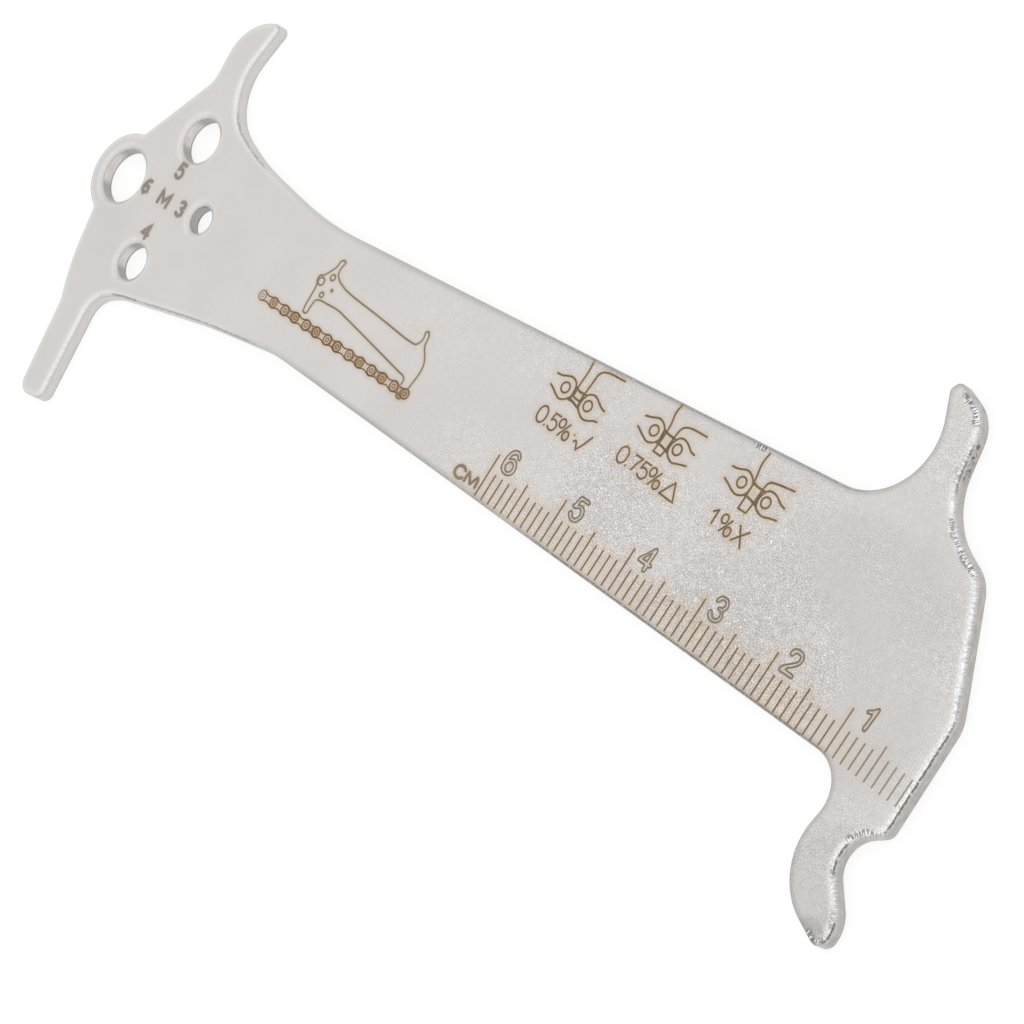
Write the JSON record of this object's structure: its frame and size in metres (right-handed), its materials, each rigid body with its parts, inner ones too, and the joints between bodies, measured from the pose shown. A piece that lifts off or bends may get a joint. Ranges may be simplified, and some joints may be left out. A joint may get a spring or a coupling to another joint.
{
  "type": "chain wear gauge",
  "caption": "Flat sheet steel gauge with a probe arm and hook for chain stretch, horns that hold a chain, a ruler edge and bolt sizing holes.",
  "frame": {"origin": "middle of the plate's outline, on the plain back face that it lies on", "axes": "X along the ruler edge towards its zero end, Y in the plane of the plate from the ruler edge to the back with the horns, Z out of the marked face"},
  "size_m": [0.1312, 0.0528, 0.0015],
  "materials": {
    "steel": "fine bead-blasted stainless steel, matt, with a tumbled bright rim"
  },
  "bodies": {
    "root": {"gauge_plate": "steel"}
  },
  "joints": []
}
